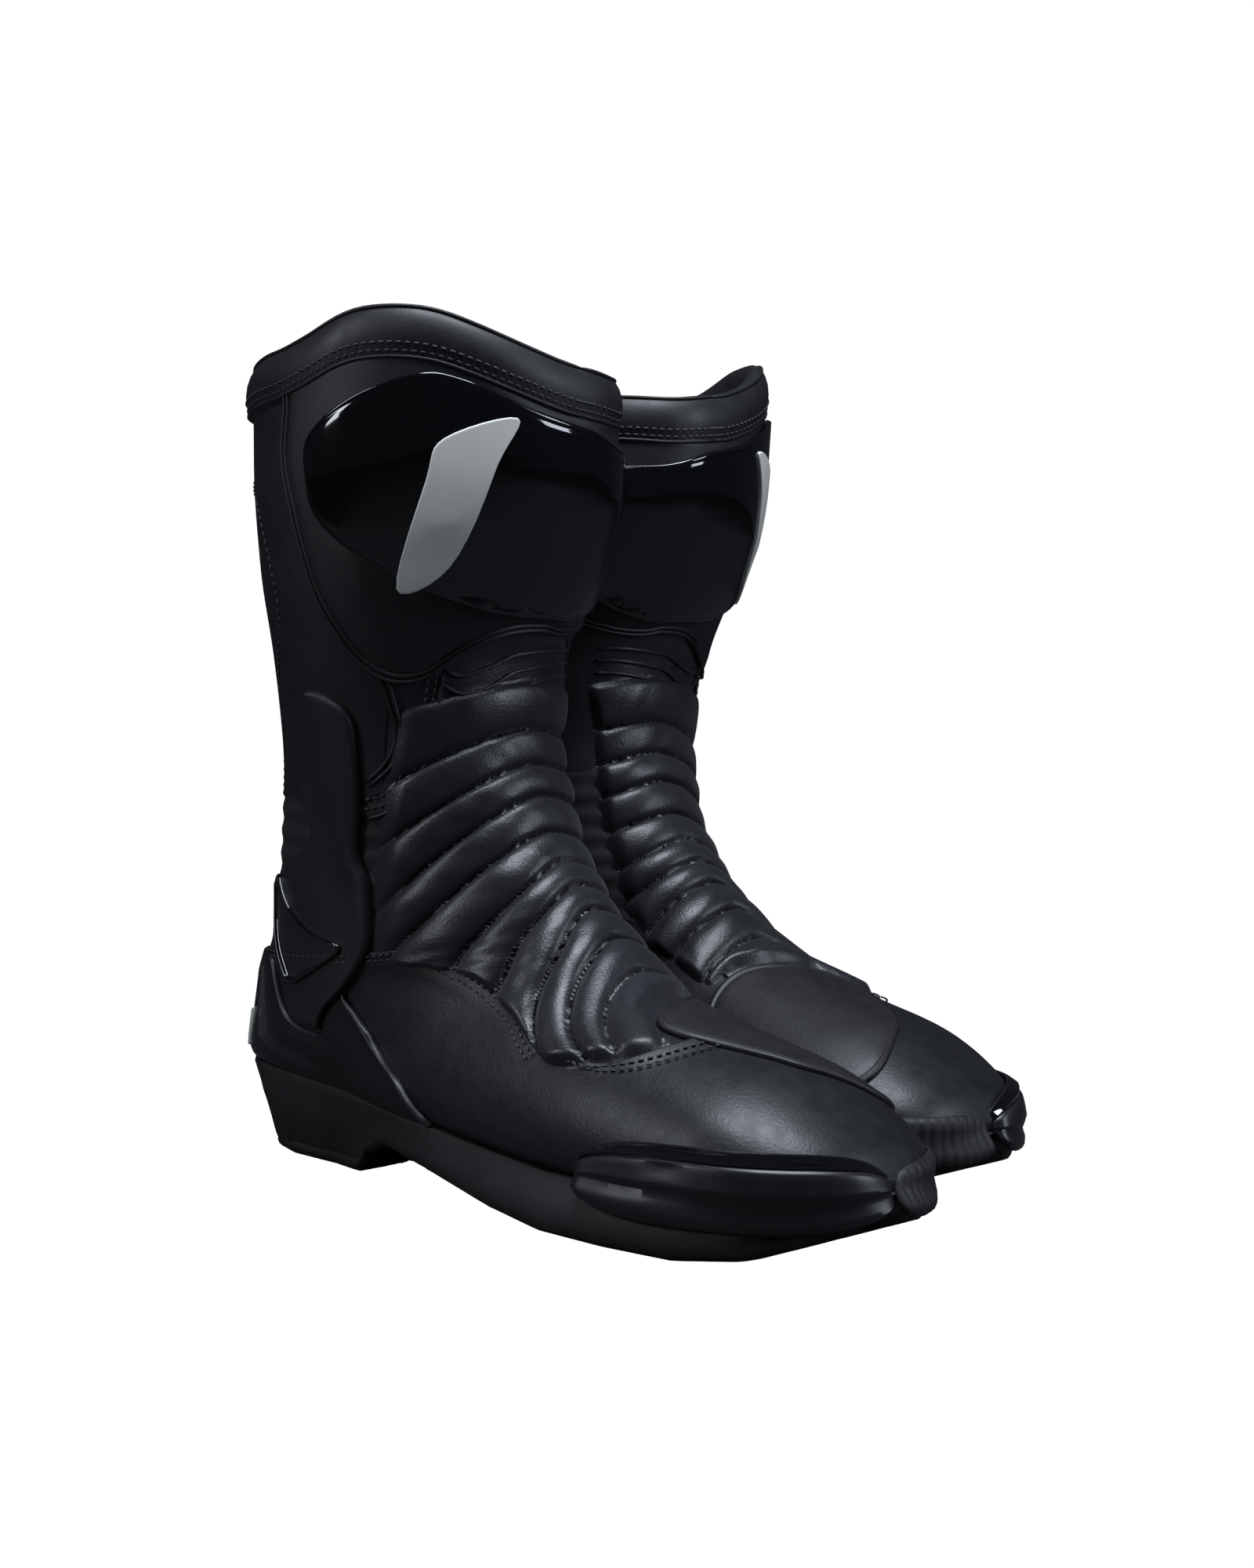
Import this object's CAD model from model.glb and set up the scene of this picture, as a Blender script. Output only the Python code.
# A pair of tall sport riding boots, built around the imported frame. Metres in the row frame; a boot's own
# measures are millimetres: x forward from the ankle axis, w out to the lateral side, z up from the ground.
import bpy, bmesh, math
import numpy as np
from mathutils import Matrix, Vector


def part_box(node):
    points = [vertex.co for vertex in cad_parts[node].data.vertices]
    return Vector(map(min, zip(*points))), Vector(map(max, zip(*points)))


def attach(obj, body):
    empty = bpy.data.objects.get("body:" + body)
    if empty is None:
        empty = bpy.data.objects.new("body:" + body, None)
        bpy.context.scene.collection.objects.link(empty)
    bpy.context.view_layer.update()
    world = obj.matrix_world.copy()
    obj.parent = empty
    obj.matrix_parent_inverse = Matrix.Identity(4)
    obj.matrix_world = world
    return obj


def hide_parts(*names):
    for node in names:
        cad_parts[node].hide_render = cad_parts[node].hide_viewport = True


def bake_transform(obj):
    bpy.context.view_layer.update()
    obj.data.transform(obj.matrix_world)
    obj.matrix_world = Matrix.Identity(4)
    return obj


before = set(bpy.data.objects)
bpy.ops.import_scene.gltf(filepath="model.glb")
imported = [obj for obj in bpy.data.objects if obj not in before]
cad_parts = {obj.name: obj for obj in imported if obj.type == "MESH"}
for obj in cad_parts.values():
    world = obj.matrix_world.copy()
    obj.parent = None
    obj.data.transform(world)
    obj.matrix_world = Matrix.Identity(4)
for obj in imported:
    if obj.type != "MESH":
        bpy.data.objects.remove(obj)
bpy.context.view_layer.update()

# ------------------------------------------------------------------ camera and studio
# The view is from the front right, a little above half the boots' height, with a long lens.
camera_yaw, camera_pitch, camera_roll = 2.3265464, -0.0616407, 0.0177507
ahead = Vector((math.cos(camera_pitch) * math.cos(camera_yaw), math.cos(camera_pitch) * math.sin(camera_yaw),
    math.sin(camera_pitch)))
level = ahead.cross(Vector((0, 0, 1))).normalized()
upward = level.cross(ahead)
cam_right = level * math.cos(camera_roll) + upward * math.sin(camera_roll)
cam_up = upward * math.cos(camera_roll) - level * math.sin(camera_roll)
camera = bpy.data.objects.new("camera", bpy.data.cameras.new("camera"))
bpy.context.scene.collection.objects.link(camera)
camera.matrix_world = (Matrix.Translation((0.69729, -0.74114, 0.21168))
    @ Matrix((cam_right, cam_up, -ahead)).transposed().to_4x4())
camera.data.lens = 3326.094 / 2000 * 36
camera.data.clip_start = 0.02
bpy.context.scene.camera = camera
bpy.context.scene.view_settings.view_transform = "Standard"

# Pale floor and surround, and soft lamps: a wide one overhead, a tall one on the left and a narrow one
# behind.
paper = bpy.data.materials.new("studio_paper")
paper.use_nodes = True
tree = paper.node_tree
tree.nodes.clear()
seen = tree.nodes.new("ShaderNodeLightPath")
glow = tree.nodes.new("ShaderNodeEmission")
glow.inputs[0].default_value = (1, 1, 1, 1)
glow.inputs[1].default_value = 1.02
matt = tree.nodes.new("ShaderNodeBsdfDiffuse")
matt.inputs[0].default_value = (0.07, 0.07, 0.075, 1)
blend_shader = tree.nodes.new("ShaderNodeMixShader")
end = tree.nodes.new("ShaderNodeOutputMaterial")
tree.links.new(seen.outputs["Is Camera Ray"], blend_shader.inputs[0])
tree.links.new(matt.outputs[0], blend_shader.inputs[1])
tree.links.new(glow.outputs[0], blend_shader.inputs[2])
tree.links.new(blend_shader.outputs[0], end.inputs[0])
floor_mesh = bpy.data.meshes.new("studio_floor")
floor_mesh.from_pydata([(-3, -3, -0.0005), (3, -3, -0.0005), (3, 3, -0.0005), (-3, 3, -0.0005)],
    [], [(0, 1, 2, 3)])
studio_floor = bpy.data.objects.new("studio_floor", floor_mesh)
studio_floor.data.materials.append(paper)
bpy.context.scene.collection.objects.link(studio_floor)
world = bpy.data.worlds.new("studio_air")
bpy.context.scene.world = world
world.use_nodes = True
air = world.node_tree
air.nodes.clear()
seen = air.nodes.new("ShaderNodeLightPath")
dim = air.nodes.new("ShaderNodeBackground")
dim.inputs[0].default_value = (0.72, 0.80, 1.0, 1)
dim.inputs[1].default_value = 0.025
bright = air.nodes.new("ShaderNodeBackground")
bright.inputs[0].default_value = (1, 1, 1, 1)
bright.inputs[1].default_value = 1.02
mix = air.nodes.new("ShaderNodeMixShader")
out = air.nodes.new("ShaderNodeOutputWorld")
air.links.new(seen.outputs["Is Camera Ray"], mix.inputs[0])
air.links.new(dim.outputs[0], mix.inputs[1])
air.links.new(bright.outputs[0], mix.inputs[2])
air.links.new(mix.outputs[0], out.inputs[0])
for lamp_name, place, aim, size, power, tint in [
    ("lamp_overhead", (0.25, -0.15, 1.25), (0.0, 0.0, 0.12), (0.8, 0.45), 17, (0.84, 0.90, 1.0)),
    ("lamp_left", (-0.55, -1.25, 0.75), (0.0, -0.05, 0.18), (0.22, 0.9), 5.5, (0.88, 0.93, 1.0)),
    ("lamp_right", (1.15, 0.55, 0.65), (0.0, 0.05, 0.12), (0.35, 0.6), 5, (0.82, 0.89, 1.0)),
]:
    lamp = bpy.data.lights.new(lamp_name, "AREA")
    lamp.shape = "RECTANGLE"
    lamp.size, lamp.size_y = size
    lamp.energy = power
    lamp.color = tint
    holder = bpy.data.objects.new(lamp_name, lamp)
    holder.location = place
    holder.rotation_euler = (Vector(aim) - Vector(place)).to_track_quat("-Z", "Y").to_euler()
    bpy.context.scene.collection.objects.link(holder)

# ------------------------------------------------------------------ outsole
# One-piece rubber outsole with a low heel block and a thin rocker forefoot, moulded and glued under the
# upper. Stations: x, ground side, half width lateral, half width medial.
SOLE = np.array([
    [-84, 12, 14, 12], [-79, 4, 25, 23], [-68, 0, 34, 32], [-50, 0, 39.5, 37.5], [-20, 0, 40.5, 37.5],
    [-3, 0, 40.5, 37],
    [1, 8, 40.5, 36], [12, 13, 40.5, 35], [40, 9, 45, 38], [80, 3, 52, 43], [110, 0, 56, 48],
    [140, 0, 57, 51],
    [170, 0, 54, 51], [195, 3, 47, 48], [212, 8, 34, 37], [222, 14, 20, 24], [226, 20, 10, 12]], float)
HEEL_END, WIDEST = 84, 57
BOOTS = {}
for boot, side in (("right", -1), ("left", 1)):
    low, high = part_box(f"{boot}_outsole")
    ankle_x = low.x * 1000 + HEEL_END
    centre = (-low.y if side < 0 else high.y) * 1000 - WIDEST
    BOOTS[boot] = (side, ankle_x, centre)


def place(points, boot):
    """Boot millimetres to row-frame metres."""
    side, ankle_x, centre = BOOTS[boot]
    p = np.asarray(points, float)
    return np.stack([p[..., 0] + ankle_x, side * (centre + p[..., 1]), p[..., 2]], -1) / 1000


def node(tree, kind, inputs=(), **settings):
    n = tree.nodes.new(kind)
    for key, value in settings.items():
        setattr(n, key, value)
    for key, value in dict(inputs).items():
        if isinstance(value, bpy.types.NodeSocket):
            tree.links.new(value, n.inputs[key])
        else:
            n.inputs[key].default_value = value
    return n


def effect(name, numbers):
    """An empty shader node group with a Place input, named numbers, and Height, Tone and Gloss outputs."""
    g = bpy.data.node_groups.new(name, "ShaderNodeTree")
    g.interface.new_socket("Place", in_out="INPUT", socket_type="NodeSocketVector")
    for key, value in numbers.items():
        s = g.interface.new_socket(key, in_out="INPUT", socket_type="NodeSocketFloat")
        s.default_value = value
    for key in ("Height", "Tone", "Gloss"):
        g.interface.new_socket(key, in_out="OUTPUT", socket_type="NodeSocketFloat")
    return g, g.nodes.new("NodeGroupInput").outputs, g.nodes.new("NodeGroupOutput").inputs


# moulded surface: fine spark texture, faint cloudiness and rubbed patches
moulded, gi, go = effect("moulded_texture", {"Spark": 2600.0, "Cloud": 30.0})
spark = node(moulded, "ShaderNodeTexNoise", {"Vector": gi["Place"], "Scale": gi["Spark"], "Detail": 3.0})
cloud = node(moulded, "ShaderNodeTexNoise", {"Vector": gi["Place"], "Scale": gi["Cloud"], "Detail": 4.0,
    "Roughness": 0.6})
rub = node(moulded, "ShaderNodeTexNoise",
    {"Vector": gi["Place"], "Scale": 190.0, "Detail": 6.0, "Roughness": 0.75})
rubbed = node(moulded, "ShaderNodeMapRange", {"Value": rub.outputs[0], "From Min": 0.62, "From Max": 0.78})
both_tones = node(moulded, "ShaderNodeMath", {0: cloud.outputs[0], 1: rubbed.outputs[0]}, operation="ADD")
moulded.links.new(spark.outputs[0], go["Height"])
moulded.links.new(both_tones.outputs[0], go["Tone"])
moulded.links.new(cloud.outputs[0], go["Gloss"])


def finish(name, dark, light, rough, group, numbers=(), bump=0.3, depth=0.0001, metal=0.0, coat=0.0,
    coat_rough=0.1, sheen=0.0, specular=0.5):
    """A material: two tones and two roughnesses mixed over the surface by the effect's Tone and Gloss,
    and its Height as relief."""
    m = bpy.data.materials.new(name)
    m.use_nodes = True
    t = m.node_tree
    shader = next(n for n in t.nodes if n.type == "BSDF_PRINCIPLED")
    where = t.nodes.new("ShaderNodeTexCoord")
    g = node(t, "ShaderNodeGroup", node_tree=group)
    t.links.new(where.outputs["Object"], g.inputs["Place"])
    for key, value in dict(numbers).items():
        g.inputs[key].default_value = value
    tones = node(t, "ShaderNodeMapRange", {"Value": g.outputs["Tone"], "From Min": 0.3, "From Max": 0.9})
    colour = node(t, "ShaderNodeMix", {"Factor": tones.outputs[0]}, data_type="RGBA")
    colour.inputs[6].default_value = (*dark, 1)
    colour.inputs[7].default_value = (*light, 1)
    t.links.new(colour.outputs[2], shader.inputs["Base Color"])
    gloss = node(t, "ShaderNodeMapRange", {"Value": g.outputs["Gloss"], "From Min": 0.25, "From Max": 0.75,
        "To Min": rough[0], "To Max": rough[1]})
    t.links.new(gloss.outputs[0], shader.inputs["Roughness"])
    relief = node(t, "ShaderNodeBump", {"Height": g.outputs["Height"], "Strength": bump, "Distance": depth})
    t.links.new(relief.outputs[0], shader.inputs["Normal"])
    shader.inputs["Metallic"].default_value = metal
    shader.inputs["Coat Weight"].default_value = coat
    shader.inputs["Coat Roughness"].default_value = coat_rough
    shader.inputs["Sheen Weight"].default_value = sheen
    shader.inputs["Specular IOR Level"].default_value = specular
    return m


def shape(name, boot, points, faces, finishes, sharp=50, marks=None):
    """A closed mesh in the row frame from boot millimetres, doubles merged, faces outward."""
    v = place(points, boot)
    f = np.asarray(faces, int)
    a, b, c, d = (v[f[:, i]] for i in range(4))
    volume = (np.cross(a, b) * c).sum() + (np.cross(a, c) * d).sum()
    if volume < 0:
        f = f[:, ::-1]
    mesh = bpy.data.meshes.new(name)
    mesh.from_pydata(v.tolist(), [], f.tolist())
    for m in finishes if isinstance(finishes, (list, tuple)) else [finishes]:
        mesh.materials.append(m)
    if marks is not None:
        mesh.polygons.foreach_set("material_index", np.asarray(marks, np.int32))
    b = bmesh.new()
    b.from_mesh(mesh)
    bmesh.ops.remove_doubles(b, verts=b.verts, dist=2e-6)
    bmesh.ops.dissolve_degenerate(b, edges=b.edges, dist=1e-7)
    b.to_mesh(mesh)
    b.free()
    mesh.polygons.foreach_set("use_smooth", [True] * len(mesh.polygons))
    mesh.set_sharp_from_angle(angle=math.radians(sharp))
    mesh.update()
    obj = bpy.data.objects.new(name, mesh)
    bpy.context.scene.collection.objects.link(obj)
    return obj


def grid_faces(rows, cols, start=0, wrap=False):
    """Four-sided faces over a grid of points that starts at one index."""
    i, j = np.meshgrid(np.arange(rows - 1), np.arange(cols if wrap else cols - 1), indexing="ij")
    k = (j + 1) % cols
    return np.stack([start + i * cols + j, start + i * cols + k, start + (i + 1) * cols + k,
        start + (i + 1) * cols + j], -1).reshape(-1, 4)


def shell(outer, inner, wrap=False):
    """Closed shell between two equal grids of points; wrap joins the last column to the first."""
    rows, cols = outer.shape[:2]
    points = np.concatenate([outer.reshape(-1, 3), inner.reshape(-1, 3)])
    n = rows * cols
    faces = [grid_faces(rows, cols, 0, wrap), grid_faces(rows, cols, n, wrap)[:, ::-1]]
    rim = [np.arange(cols), (rows - 1) * cols + np.arange(cols)[::-1]]
    if wrap:
        rim = [np.append(r, r[0]) for r in rim]
    else:
        rim += [np.arange(rows)[::-1] * cols, np.arange(rows) * cols + cols - 1]
    for r in rim:
        faces.append(np.stack([r[:-1] + n, r[1:] + n, r[1:], r[:-1]], -1))
    return points, np.concatenate(faces)


def hold(obj, boot, body, stands_for=(), bend=False):
    """Fixes a finished piece to its body, or lets it bend with the ankle between foot and shaft."""
    if bend:
        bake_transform(obj)
    else:
        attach(obj, f"{boot}_{body}")
    if stands_for:
        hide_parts(*[f"{boot}_{n}" for n in ([stands_for]
            if isinstance(stands_for, str) else stands_for)])
    return obj


sole_rubber = finish("sole_rubber", (0.008, 0.008, 0.009), (0.02, 0.02, 0.021), (0.5, 0.72), moulded,
    {"Spark": 1500.0, "Cloud": 45.0}, bump=0.5)
# The whole upper follows one form, the last. Its sections run from the collar, station 0, to the toe,
# station 15.7: front edge x z, rear or bottom edge x z, widest point, half width lateral, half width
# medial, roundness front, rear.
SECTIONS = np.array([
    [75,299.6,-68,299.6,.5,75.4,45.3,2.2,2.2],[73,267.4,-68,267.4,.5,74.3,47.7,2.2,2.2],
    [62.3,230.5,-65.5,230.5,.5,70,49.3,2.2,2.2],
    [46.5,195.4,-59.5,195.4,.5,63.2,48.2,2.2,2.2],[46,167.8,-61.6,158.6,.5,55.3,45.2,2.2,2.2],
    [52,147.5,-68,127.2,.48,50.2,45.1,2.2,2.2],
    [59,130.9,-74,96.8,.46,46.8,45,2.2,2.2],[70,117.1,-85.4,64.5,.46,45.4,44.3,2.2,2.2],
    [80.8,105.1,-90.9,35,.45,44.1,43,2.2,2.3],
    [93,95,-40.1,24,.42,42.7,41.7,2.2,2.8],[103.4,85.7,5,22.1,.38,45.8,42.7,2.2,3],
    [118,77,55,18.4,.35,50,45.8,2.2,3],
    [148.5,68.2,105,14.8,.33,53.1,49,2.2,3],[180.2,59.9,150,12.9,.33,52.1,50,2.2,3],
    [201.6,48.9,190,13.8,.35,43.8,45.8,2.2,2.6],
    [215.1,38.7,210,16.6,.4,30.2,34.4,2.2,2.4],[221,29.5,220,22.1,.5,14.6,18.8,2,2]])
STATIONS = np.array([float(i) for i in range(16)] + [15.7])
span = np.diff(STATIONS)[:, None]
rise = np.diff(SECTIONS, axis=0) / span
SLOPES = np.zeros_like(SECTIONS)
u1, u2 = 2 * span[1:] + span[:-1], span[1:] + 2 * span[:-1]
with np.errstate(divide="ignore", invalid="ignore"):
    SLOPES[1:-1] = np.where(rise[:-1] * rise[1:] > 0, (u1 + u2) / (u1 / rise[:-1] + u2 / rise[1:]), 0)
SLOPES[0], SLOPES[-1] = rise[0], rise[-1]


def last(t, a):
    """Point of the last at station t and angle a: 0 at the shin and top, positive to the lateral side."""
    t, a = np.broadcast_arrays(np.asarray(t, float), np.asarray(a, float))
    k = np.clip(np.searchsorted(STATIONS, t, side="right") - 1, 0, 15)
    h = (STATIONS[k + 1] - STATIONS[k])[..., None]
    u = (np.clip(t, 0, 15.7) - STATIONS[k])[..., None] / h
    y = (SECTIONS[k] * (2 * u**3 - 3 * u**2 + 1) + SECTIONS[k + 1] * (3 * u**2 - 2 * u**3)
        + SLOPES[k] * h * (u**3 - 2 * u**2 + u) + SLOPES[k + 1] * h * (u**3 - u**2))
    fx, fz, rx, rz, m, wl, wm, nf, nr = np.moveaxis(y, -1, 0)
    up = np.maximum(-t, 0) * 32.2
    c, s = np.cos(a), np.sin(a)
    n = np.where(c >= 0, nf, nr)
    cc, ss = np.sign(c) * np.abs(c) ** (2 / n), np.sign(s) * np.abs(s) ** (2 / n)
    cx, cz = rx + m * (fx - rx), rz + m * (fz - rz)
    return np.stack([cx + np.where(c >= 0, fx - cx, cx - rx) * cc, np.where(s >= 0, wl, wm) * ss,
        cz + np.where(c >= 0, fz - cz, cz - rz) * cc + up], -1)


def outward(t, a):
    """Unit direction away from the last."""
    e = 0.03
    along_t = last(np.minimum(t + e, 15.69), a) - last(np.minimum(t, 15.66) - e, a)
    n = np.cross(last(t, a + e) - last(t, a - e), along_t)
    n /= np.linalg.norm(n, axis=-1, keepdims=True) + 1e-12
    middle = (last(t, a * 0) + last(t, a * 0 + np.pi)) / 2
    return n * np.sign(((last(t, a) - middle) * n).sum(-1, keepdims=True) + 1e-9)


def skin(t, a, d):
    """Points at distance d mm outside the last."""
    return last(t, a) + outward(t, a) * np.asarray(d, float)[..., None]


FORM_T, FORM_A = np.meshgrid(np.linspace(5.5, 15.7, 220),
    np.radians(np.arange(-180, 180, 2.0)), indexing="ij")
FORM = last(FORM_T, FORM_A).reshape(-1, 3)


def plan(points, count, closed=False):
    """A smooth plan line through points, with its direction and the way out from the middle of the sole."""
    p = np.array(points, float)
    if closed:
        p = np.concatenate([p, p[:1]])
    way = np.concatenate([[0], np.cumsum(np.linalg.norm(np.diff(p, axis=0), axis=1))])
    s = np.linspace(0, way[-1], count, endpoint=not closed)
    line = np.stack([np.interp(s, way, p[:, i]) for i in (0, 1)], 1)
    for _ in range(8):
        if closed:
            line = (np.roll(line, 1, 0) + 2 * line + np.roll(line, -1, 0)) / 4
        else:
            line[1:-1] = (line[:-2] + 2 * line[1:-1] + line[2:]) / 4
    along = np.roll(line, -1, 0) - np.roll(line, 1, 0) if closed else np.gradient(line, axis=0)
    along /= np.linalg.norm(along, axis=1, keepdims=True)
    away = np.stack([along[:, 1], -along[:, 0]], 1)
    away *= np.sign((away * (line - np.stack([np.clip(line[:, 0], -40, 180), 0 * line[:, 0]], 1))).sum(1))[:,
        None]
    return line, along, away


def reach(line, along, away, z):
    """How far the last stands out beyond each point of a plan line, at each height."""
    rest = np.full(z.shape, -8.0)
    for i in range(len(line)):
        gap = FORM[:, :2] - line[i]
        near = np.abs(gap @ along[i]) < 2.5
        out, height = (gap @ away[i])[near], FORM[near, 2]
        for j in range(z.shape[1]):
            level = np.abs(height - z[i, j]) < 2.5
            if level.any():
                rest[i, j] = out[level].max()
    return rest


TREAD_PITCH, TREAD_DEPTH, ZIGZAG, HEEL_TAPER, WALL_THICK = 9.0, 1.4, 13.0, 5, 3.6
xs = np.unique(np.concatenate([np.arange(-84, 226.1, 1.5), SOLE[:, 0]]))
st = np.stack([np.interp(xs, SOLE[:, 0], SOLE[:, i]) for i in range(4)], 1)
for i in (1, 1, 2, 3):
    st[2:-2, i] = np.convolve(st[:, i], np.array([1, 2, 3, 2, 1]) / 9, "valid")
across = np.linspace(-1, 1, 45)
st[:, 2:] -= HEEL_TAPER * np.clip((8 - xs) / 30, 0, 1)[:, None]
low, wide, slim = (st[:, i][:, None] for i in (1, 2, 3))
xs_ground = np.where(xs < -40, -40 + (xs + 40) * 0.84, np.where(xs > 200, 200 + (xs - 200) * 0.78, xs))
half = np.where(across >= 0, wide - 4, slim - 4)
w_under = across * half
zig = np.abs(((w_under / ZIGZAG) % 2) - 1) * 5
groove_depth = np.clip(1 - np.abs((((xs[:, None] + zig) / TREAD_PITCH) % 1) - 0.5) * TREAD_PITCH / 1.3, 0, 1)
groove_depth *= np.clip((1 - np.abs(across)) * half / 3 - 0.6, 0, 1) * np.clip((half - 12) / 8, 0, 1)
under = np.stack([xs_ground[:, None] + 0 * w_under, w_under,
    low + TREAD_DEPTH * np.minimum(1, groove_depth * 1.6)], -1)
wall = [(wide - inset_by, low + lift, slim - inset_by)
    for lift, inset_by in ((0.5, 2.6), (1.6, 1.3), (3.2, 0.6), (5, 0.9), (7, 3))]
lateral_wall = np.concatenate([np.stack([xs_ground[:, None], w, z], -1) for w, z, _ in wall], 1)
medial_wall = np.concatenate([np.stack([xs_ground[:, None], -m, z], -1) for _, z, m in wall], 1)
roof = np.concatenate([np.stack([xs_ground[:, None], k * (wide if k > 0 else slim), low + 7.2], -1)
    for k in (0.5, 0.0, -0.5)], 1)
ring = np.concatenate([under, lateral_wall, roof, medial_wall[:, ::-1]], 1)
ring = np.concatenate([np.repeat(ring[:1].mean(1)[:, None], ring.shape[1], 1), ring,
    np.repeat(ring[-1:].mean(1)[:, None], ring.shape[1], 1)])
for boot in BOOTS:
    obj = shape(f"{boot}_tread_sole", boot, ring.reshape(-1, 3),
        grid_faces(ring.shape[0], ring.shape[1], 0, wrap=True), sole_rubber, sharp=35)
    hold(obj, boot, "foot", "outsole")

# the side wall leans in to meet the upper all round
rim_line = ([(-85.6, 0)] + [(x, w) for x, _, w, _ in SOLE[1:]] + [(228, 0)]
    + [(x, -m) for x, _, _, m in SOLE[:0:-1]])
line, along, away = plan(rim_line, 300, closed=True)
low_z = np.interp(line[:, 0], xs, st[:, 1]) + 3.0
high_z = np.interp(line[:, 0], [-84, -40, -3, 20, 60, 110, 170, 205, 226],
    [34, 33, 31, 28, 24, 20.5, 20, 22, 26])
meet = reach(line, along, away, high_z[:, None])[:, 0]
heel = np.clip((30 - line[:, 0]) / 40, 0, 1)
meet = np.clip(meet, -9, 7) + 0.7 + 1.7 * heel
for _ in range(30):
    meet = (np.roll(meet, 1) + 2 * meet + np.roll(meet, -1)) / 4
levels = np.array([0, 0.06, 0.16, 0.3, 0.45, 0.6, 0.75, 0.88, 0.96, 1.0, 1.0])
lean = np.array([-0.5, -0.15, 0, 0.04, 0.15, 0.34, 0.58, 0.82, 0.97, 1.0, 1.0])
fold = np.array([0, 0, 0, 0, 0, 0, 0, 0, -0.1, -0.7, -3.5])
tuck = (np.clip((10 - line[:, 0]) / 30, 0, 1)[:, None]
    * np.interp(levels, [0, 0.25, 0.6, 1], [-6.5, -4.6, -1.6, 0])[None])
tuck = tuck - 4.5 * np.clip((line[:, 0] - 196) / 16, 0, 1)[:, None]
away_by = np.where(lean < 0, lean, 0)[None] + np.clip(lean, 0, 1)[None] * meet[:, None] + fold[None] + tuck
z = low_z[:, None] + (high_z - low_z)[:, None] * levels[None] + np.array([0] * 9 + [0.25, 0.25])[None]
outer = np.concatenate([line[:, None] + away[:, None] * away_by[..., None], z[..., None]],
    -1).transpose(1, 0, 2)
inner = np.concatenate([line[:, None] + away[:, None] * (away_by - WALL_THICK)[..., None], z[..., None]],
    -1).transpose(1, 0, 2)
for boot in BOOTS:
    points, faces = shell(outer, inner, wrap=True)
    hold(shape(f"{boot}_sole_wall", boot, points, faces, sole_rubber, sharp=50), boot, "foot",
        "outsole")

# ------------------------------------------------------------------ toe cap
# Full-grain leather toe cap, lasted down under the sole; its seam to the instep hides under the shift pad.


def follow(line, at):
    """Smooth curve through (station, degrees) marks, read at shares of its length."""
    p = np.array([(t, math.radians(a)) for t, a in line], float)
    if len(p) == 2:
        q = p
    else:
        ext = np.concatenate([[2 * p[0] - p[1]], p, [2 * p[-1] - p[-2]]])
        s = np.linspace(0, 1, 12, endpoint=False)[:, None]
        q = np.concatenate([0.5 * ((2 * b) + (c - a) * s + (2 * a - 5 * b + 4 * c - d) * s**2
            + (3 * b - a - 3 * c + d) * s**3)
            for a, b, c, d in zip(ext[:-3], ext[1:-2], ext[2:-1], ext[3:])] + [p[-1:]])
    way = np.concatenate([[0], np.cumsum(np.linalg.norm(np.diff(last(q[:, 0], q[:, 1]), axis=0), axis=1))])
    return np.stack([np.interp(np.asarray(at) * way[-1], way, q[:, i]) for i in (0, 1)], -1), way[-1]


def shares(length, step, edge=(0, 0.25, 0.7, 1.4, 2.4)):
    """Shares of a length for a grid: close together near both ends, even between."""
    e = np.array(edge) / length
    n = max(2, int(round((length - 2 * edge[-1]) / step)))
    return np.unique(np.round(np.concatenate([e, np.linspace(e[-1], 1 - e[-1], n + 1), 1 - e]), 7))


def panel(top, bottom, left, right, step=(4.0, 4.0)):
    """Stations and angles of a four-sided panel, and each grid point's distance in mm from the four edges."""
    lengths = [follow(line, [0, 1])[1] for line in (top, bottom, left, right)]
    su, sv = shares(max(lengths[:2]), step[0]), shares(max(lengths[2:]), step[1])
    (tp, bt, lf, rt) = (follow(line, s)[0] for line, s in ((top, su), (bottom, su), (left, sv), (right, sv)))
    u, v = su[None, :, None], sv[:, None, None]
    g = (1 - v) * tp[None] + v * bt[None] + (1 - u) * lf[:, None] + u * rt[:, None]
    g -= (1 - u) * (1 - v) * tp[0] + u * (1 - v) * tp[-1] + (1 - u) * v * bt[0] + u * v * bt[-1]
    wide, tall = max(lengths[:2]), max(lengths[2:])
    far = {"top": v[..., 0] * tall + 0 * u[..., 0], "bottom": (1 - v[..., 0]) * tall + 0 * u[..., 0],
        "left": u[..., 0] * wide + 0 * v[..., 0], "right": (1 - u[..., 0]) * wide + 0 * v[..., 0]}
    return g[..., 0], g[..., 1], far


def drop(e, r):
    """How far a rounded edge of radius r falls at distance e from it."""
    x = np.clip(1 - np.asarray(e) / r, 0, 1)
    return r * (1 - np.sqrt(np.clip(1 - x * x, 0, 1)))


def edges(far, names, r):
    """The deepest fall of the named rounded edges."""
    out = 0
    for n in names.split():
        out = np.maximum(out, drop(far[n], r))
    return out


def make_pair(name, points, faces, finishes, body, stands_for=(), slot=None, bend=False, sharp=50,
    fill=None, marks=None):
    """The same piece for the right boot and, mirrored, for the left."""
    for boot in BOOTS:
        obj = shape(f"{boot}_{name}", boot, points, faces, finishes, sharp, marks)
        hold(obj, boot, body, stands_for, bend)


INNER_FACE = -1.6  # height of the leathers' inner face over the last, in mm


def sheet_pair(name, t, a, d, under, *rest, **more):
    """A piece for each boot that lies on the last: its outer face at d mm and its inner face at under mm."""
    make_pair(name, *shell(skin(t, a, d), skin(t, a, 0 * t + under)), *rest, **more)


def folded(far, lift, width):
    """The rise of a panel towards its folded top edge."""
    return lift * np.exp(-((far["top"] / width) ** 2))


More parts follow.
